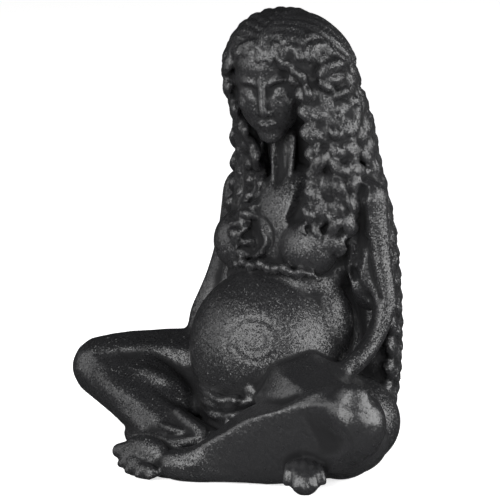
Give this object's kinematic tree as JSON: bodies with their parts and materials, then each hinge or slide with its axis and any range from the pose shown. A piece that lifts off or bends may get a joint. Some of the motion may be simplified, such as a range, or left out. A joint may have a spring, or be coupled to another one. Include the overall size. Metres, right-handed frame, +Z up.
{
  "type": "mother goddess figurine",
  "caption": "Seated cross-legged mother-to-be in polished black obsidian, hands under her round belly, with long crimped hair down to the base.",
  "frame": {"origin": "middle of the box around the figurine, on the flat underside it stands on", "axes": "+Z up from the underside to the crown; her body faces -Y and her left side is +X, with her head turned about thirty degrees towards +X"},
  "size_m": [0.0724, 0.052, 0.0805],
  "materials": {
    "obsidian": "satin polished black volcanic glass with a fine glittering grain"
  },
  "bodies": {
    "root": {"goddess_figurine": "obsidian"}
  },
  "joints": []
}
